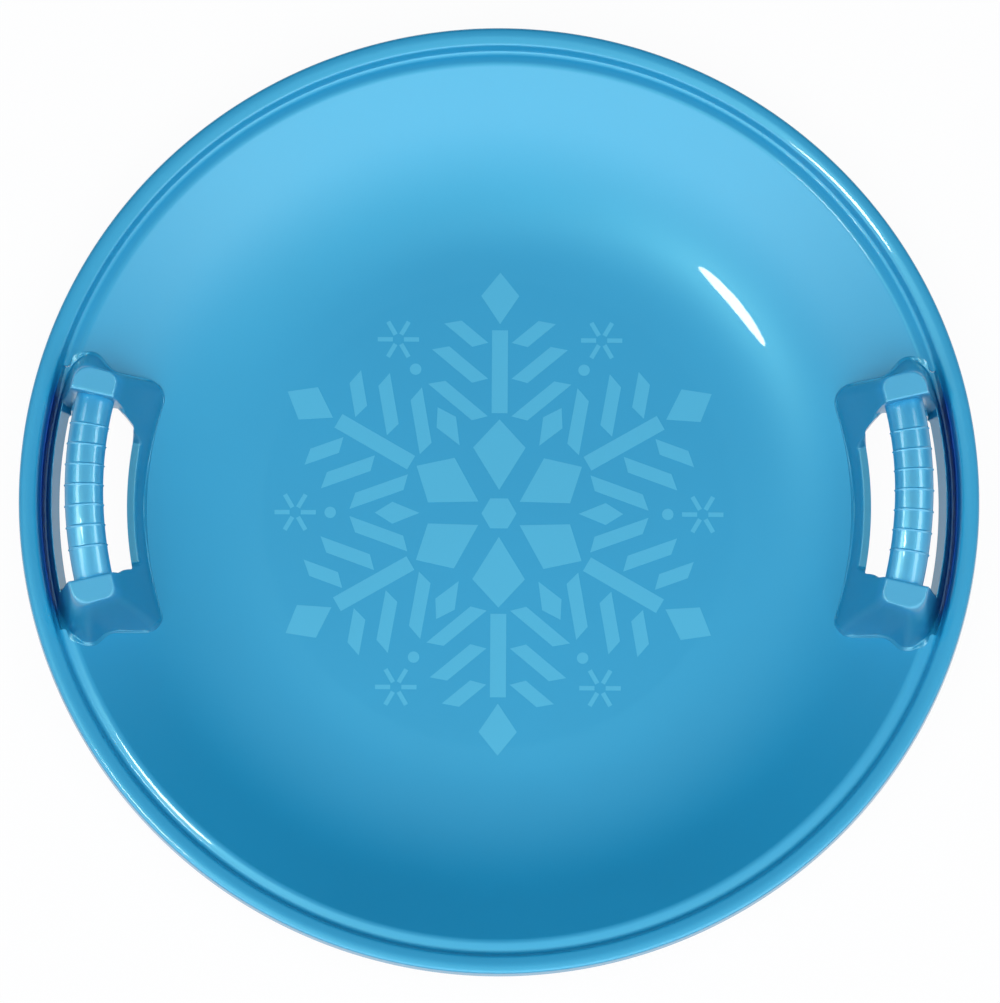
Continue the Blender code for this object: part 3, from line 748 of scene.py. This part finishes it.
# The print: one colour of lighter blue ink, laid on the floor of the dish. Its design is a
# plain snow crystal of six straight arms with small flakes between them, cut from bars,
# kites and spots, and it is a skin less than a tenth of a millimetre thick.
INK_BLUE = (0.060, 0.415, 0.620, 1.0)
INK_FINISH = {"clouding": 0.03, "gloss": 0.36, "relief": 0.3}
INK_HEIGHT = 0.00006
INK_LIFT = 0.00001
ARMS = 6
# Kites are near, far and widest radius and half width. Bars are near, far and half width.
CORE_KITE = (0.0150, 0.060, 0.042, 0.0165)
TIP_KITE = (0.121, 0.154, 0.139, 0.0120)
GAP_KITE = (0.050, 0.078, 0.067, 0.0070)
ARM_BAR = (0.064, 0.117, 0.0050)
RAY_BAR = (0.0035, 0.0130, 0.0014)
FLAKE_PLACE = (0.128, 0.0)
SPOT_PLACE = (0.106, 0.0)
SPOT_RADIUS = 0.0036
SPOT_SIDES = 40
HUB_RADIUS = 0.011
# Side limbs of an arm are radius and length, and all share one slanted form.
LIMBS = ((0.062, 0.035), (0.086, 0.032), (0.109, 0.022))
LIMB_WIDTH = 0.0085
LIMB_ROOT_SLANT = 0.006
LIMB_END_SLANT = 0.007
LIMB_ASIDE = 0.0074
LIMB_ANGLE = math.radians(50)


def kite(near, far, waist, half_width):
    """A kite along +X from one radius to another, widest at its waist."""
    return [(near, 0), (waist, -half_width), (far, 0), (waist, half_width)]


def bar(near, far, half_width):
    """A straight bar along +X with square ends."""
    return [(near, -half_width), (far, -half_width), (far, half_width), (near, half_width)]


def spot(centre, radius, sides):
    """An even-sided spot."""
    angles = np.linspace(0, math.tau, sides, endpoint=False)
    return [(centre[0] + radius * math.cos(a), centre[1] + radius * math.sin(a)) for a in angles]


def turned_points(points, angle, centre=(0.0, 0.0)):
    """Points turned about the origin and then moved."""
    cos, sin = math.cos(angle), math.sin(angle)
    return [(x * cos - y * sin + centre[0], x * sin + y * cos + centre[1]) for x, y in points]


def crystal_shapes():
    """All the shapes of the print, none of them crossing another."""
    shapes = []
    for arm in range(ARMS):
        angle = math.tau * (arm + 0.5) / ARMS
        for part in (kite(*CORE_KITE), kite(*TIP_KITE), bar(*ARM_BAR)):
            shapes.append(turned_points(part, angle))
        for radius, length in LIMBS:
            end = length + LIMB_END_SLANT
            limb = [(0.0, 0.0), (length, 0.0), (end, LIMB_WIDTH), (LIMB_ROOT_SLANT, LIMB_WIDTH)]
            for flip in (1, -1):
                leaf = [(x, y * flip) for x, y in limb]
                leaf = turned_points(leaf, LIMB_ANGLE * flip, (radius, LIMB_ASIDE * flip))
                shapes.append(turned_points(leaf, angle))
        between = math.tau * arm / ARMS
        shapes.append(turned_points(kite(*GAP_KITE), between))
        shapes.append(turned_points(spot(SPOT_PLACE, SPOT_RADIUS, SPOT_SIDES), between))
        for turn in range(ARMS):
            ray = turned_points(bar(*RAY_BAR), math.tau * turn / ARMS, FLAKE_PLACE)
            shapes.append(turned_points(ray, between))
    shapes.append(spot((0.0, 0.0), HUB_RADIUS, ARMS))
    return shapes


def print_object(name):
    """The ink as one thin flat piece."""
    work = bmesh.new()
    for shape in crystal_shapes():
        face = work.faces.new([work.verts.new((x, y, WALL + INK_LIFT)) for x, y in shape])
        lifted = bmesh.ops.extrude_face_region(work, geom=[face])
        top = [item for item in lifted["geom"] if isinstance(item, bmesh.types.BMVert)]
        bmesh.ops.translate(work, verts=top, vec=(0, 0, INK_HEIGHT))
    bmesh.ops.recalc_face_normals(work, faces=work.faces)
    mesh = bpy.data.meshes.new(name)
    work.to_mesh(mesh)
    work.free()
    return add_object(name, mesh)


ink = print_object("centre_print")
ink.data.materials.append(plastic("print_ink", INK_BLUE, **INK_FINISH))
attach(ink, "root")

# The studio: a pale floor seen as white, a wide soft ceiling lamp over the dish and another
# over the handles, a softbox and two strips that draw the crisp glints, and two large curved
# cards for the gloss to mirror: a bright one on the rider's side and a dull one behind.
AMBIENT = (0.15, 0.20, 0.32, 1.0)
FLOOR_COLOUR = {"Base Color": (0.85, 0.86, 0.87, 1.0), "Roughness": 0.9}
FLOOR_SHOW = 0.96
FLOOR_GAP = 0.0002
FLOOR_CORNERS = ((-6, -6), (6, -6), (6, 6), (-6, 6))
LAMP_DISTANCE = 4.0
CEILING_SIZE = (4.0, 3.0)
CEILING_HEIGHT = math.radians(71)
CEILING_LEVEL = 0.97
HANDLE_LIGHT_HEIGHT = math.radians(92)
HANDLE_LIGHT_LEVEL = 0.72
SOFTBOX_FROM = (-0.328, -0.126, 0.936)
SOFTBOX_SIZE = (0.62, 0.32)
SOFTBOX_LEVEL = 0.14
STRIP_SIDE = 0.47
STRIP_FROM = (0.0, 0.88)
STRIP_SIZE = (7.0, 0.50)
STRIP_LEVEL = 0.72
# A card is its azimuth, how far it spreads to each side and its top's height, in degrees.
BRIGHT_CARD = (-90, 100, 80)
DULL_CARD = (90, 85, 72)
CARD_RADIUS = 3.0
CARD_FOOT = 1
CARD_ACROSS = 48
CARD_UP = 16
CARD_FADE = {"Side": 0.3, "Top": 0.75}
GLOW_LEVEL = 3.65
DULL_CARD_FACE = {
    "Base Color": (0.10, 0.12, 0.15, 1.0),
    "Roughness": 1.0,
    "Specular IOR Level": 0.0,
}


def seen_plainly(nodes, links):
    """1 for the rays that show the background: camera, glossy and transmission rays."""
    rays = nodes.new("ShaderNodeLightPath").outputs
    seen = math_node(nodes, links, "MAXIMUM", rays["Is Camera Ray"], rays["Is Glossy Ray"])
    return math_node(nodes, links, "MAXIMUM", seen, rays["Is Transmission Ray"])


def mixed_shader(nodes, links, share, first, second):
    """A Mix Shader's result, from the first shader to the second by a share."""
    mix = nodes.new("ShaderNodeMixShader")
    for socket, value in zip(mix.inputs, (share, first, second)):
        links.new(value, socket)
    return mix.outputs[0]


def floor_material():
    """Pale floor: white to the eye, with a little of its shading kept."""
    material, nodes, links = new_material("pale_floor")
    shader = set_inputs(nodes["Principled BSDF"], FLOOR_COLOUR)
    glow = set_inputs(nodes.new("ShaderNodeEmission"), {"Strength": 1.0})
    share = math_node(nodes, links, "MULTIPLY", seen_plainly(nodes, links), FLOOR_SHOW)
    surface = mixed_shader(nodes, links, share, shader.outputs[0], glow.outputs[0])
    links.new(surface, nodes["Material Output"].inputs["Surface"])
    return material


def soft_edges_group():
    """Opacity of a card: full in the middle of its foot, fading to its sides and its top."""
    group, taken, given = new_group(
        "soft_edges",
        [("Side", "NodeSocketFloat", 0.3), ("Top", "NodeSocketFloat", 0.6)],
        [("Mask", "NodeSocketFloat")],
    )
    nodes, links = group.nodes, group.links
    place = parts_of(nodes, links, nodes.new("ShaderNodeUVMap").outputs["UV"])
    from_middle = math_node(nodes, links, "SUBTRACT", place["X"], 0.5)
    from_middle = math_node(nodes, links, "ABSOLUTE", from_middle)
    masks = []
    for value, edge, fade in ((from_middle, 0.5, "Side"), (place["Y"], 1.0, "Top")):
        full = math_node(nodes, links, "SUBTRACT", edge, taken.outputs[fade])
        masks.append(smooth_ramp(nodes, links, value, edge, full))
    links.new(math_node(nodes, links, "MULTIPLY", *masks), given.inputs["Mask"])
    return group


SOFT_EDGES = soft_edges_group()


def curved_card(name, middle, spread, top, shade):
    """A card on a sphere round the dish, about an azimuth, that the camera doesn't see."""
    angles = np.radians(np.linspace(middle - spread, middle + spread, CARD_ACROSS + 1))
    heights = np.radians(np.linspace(CARD_FOOT, top, CARD_UP + 1))
    verts = [
        (
            CARD_RADIUS * math.cos(h) * math.cos(a),
            CARD_RADIUS * math.cos(h) * math.sin(a),
            CARD_RADIUS * math.sin(h),
        )
        for h in heights
        for a in angles
    ]
    wide = CARD_ACROSS + 1
    faces = [
        (r * wide + c, r * wide + c + 1, (r + 1) * wide + c + 1, (r + 1) * wide + c)
        for r in range(CARD_UP)
        for c in range(CARD_ACROSS)
    ]
    card = mesh_object(name, verts, faces)
    layer = card.data.uv_layers.new(name="spread")
    for loop in card.data.loops:
        row, column = divmod(loop.vertex_index, wide)
        layer.data[loop.index].uv = (column / CARD_ACROSS, row / CARD_UP)
    card.visible_camera = False
    card.visible_shadow = False
    material, nodes, links = new_material(name)
    mask = place_group(nodes, SOFT_EDGES, CARD_FADE).outputs["Mask"]
    clear = nodes.new("ShaderNodeBsdfTransparent").outputs[0]
    surface = mixed_shader(nodes, links, mask, clear, shade(nodes))
    links.new(surface, nodes["Material Output"].inputs["Surface"])
    card.data.materials.append(material)
    return card


def glowing(nodes):
    """Even light at the bright card's level."""
    return set_inputs(nodes.new("ShaderNodeEmission"), {"Strength": GLOW_LEVEL}).outputs[0]


def dull(nodes):
    """The dull card's matt dark grey."""
    return set_inputs(nodes["Principled BSDF"], DULL_CARD_FACE).outputs[0]


def area_lamp(name, away, size, level, shape="RECTANGLE"):
    """A lamp aimed at the dish from a direction; at level 1 colours show as written."""
    data = bpy.data.lights.new(name, "AREA")
    data.shape = shape
    data.size, data.size_y = size
    data.energy = level * math.pi ** 2 * LAMP_DISTANCE ** 2
    lamp = add_object(name, data)
    lamp.visible_camera = False
    direction = Vector(away).normalized()
    lamp.location = direction * LAMP_DISTANCE
    lamp.rotation_euler = direction.to_track_quat("Z", "Y").to_euler()
    return lamp


def toward_rider(height):
    """Direction of a lamp at a height above the horizon, on the rider's side."""
    return (0.0, -math.cos(height), math.sin(height))


corners = [(x, y, -FLOOR_GAP) for x, y in FLOOR_CORNERS]
floor = mesh_object("floor", corners, [(0, 1, 2, 3)])
floor.data.materials.append(floor_material())
curved_card("bright_card", *BRIGHT_CARD, glowing).visible_diffuse = False
curved_card("dull_card", *DULL_CARD, dull)

world = bpy.data.worlds.new("surround")
scene.world = world
world.use_nodes = True
nodes, links = world.node_tree.nodes, world.node_tree.links
even = set_inputs(nodes["Background"], {"Color": AMBIENT}).outputs[0]
pale = nodes.new("ShaderNodeBackground").outputs[0]
surround = mixed_shader(nodes, links, seen_plainly(nodes, links), even, pale)
links.new(surround, nodes["World Output"].inputs["Surface"])

handles = bpy.data.collections.new("handles")
all_but_handles = bpy.data.collections.new("all_but_handles")
for piece in handle_pieces:
    handles.objects.link(piece)
    all_but_handles.objects.link(piece)
for entry in all_but_handles.collection_objects:
    entry.light_linking.link_state = "EXCLUDE"

ceiling = area_lamp("ceiling", toward_rider(CEILING_HEIGHT), CEILING_SIZE, CEILING_LEVEL)
ceiling.visible_glossy = False
ceiling.light_linking.receiver_collection = all_but_handles
softbox = area_lamp("softbox", SOFTBOX_FROM, SOFTBOX_SIZE, SOFTBOX_LEVEL, "ELLIPSE")
softbox.visible_diffuse = False
over_handles = toward_rider(HANDLE_LIGHT_HEIGHT)
handle_light = area_lamp("handle_light", over_handles, CEILING_SIZE, HANDLE_LIGHT_LEVEL)
handle_light.visible_glossy = False
handle_light.light_linking.receiver_collection = handles
for side, _ in SIDES:
    strip = area_lamp("strip", (side * STRIP_SIDE, *STRIP_FROM), STRIP_SIZE, STRIP_LEVEL)
    strip.visible_diffuse = False
    strip.light_linking.receiver_collection = handles

# The camera: a long lens nearly overhead, tilted a little to the rider's side and turned a
# hair about its axis. Its frame is a little wider than the dish.
CAMERA_TILT = math.radians(10.0)
CAMERA_ROLL = math.radians(0.35)
CAMERA_DISTANCE = 8.0
FRAME_WIDTH = 0.6244
AIM = (0.0006, -0.0008, 0.050)

camera = add_object("camera", bpy.data.cameras.new("camera"))
camera.data.sensor_fit = "HORIZONTAL"
camera.data.lens = camera.data.sensor_width * CAMERA_DISTANCE / FRAME_WIDTH
away = Vector((0.0, -math.sin(CAMERA_TILT), math.cos(CAMERA_TILT)))
camera.location = Vector(AIM) + away * CAMERA_DISTANCE
turn = away.to_track_quat("Z", "Y").to_matrix() @ Matrix.Rotation(CAMERA_ROLL, 3, "Z")
camera.rotation_euler = turn.to_euler()
scene.camera = camera
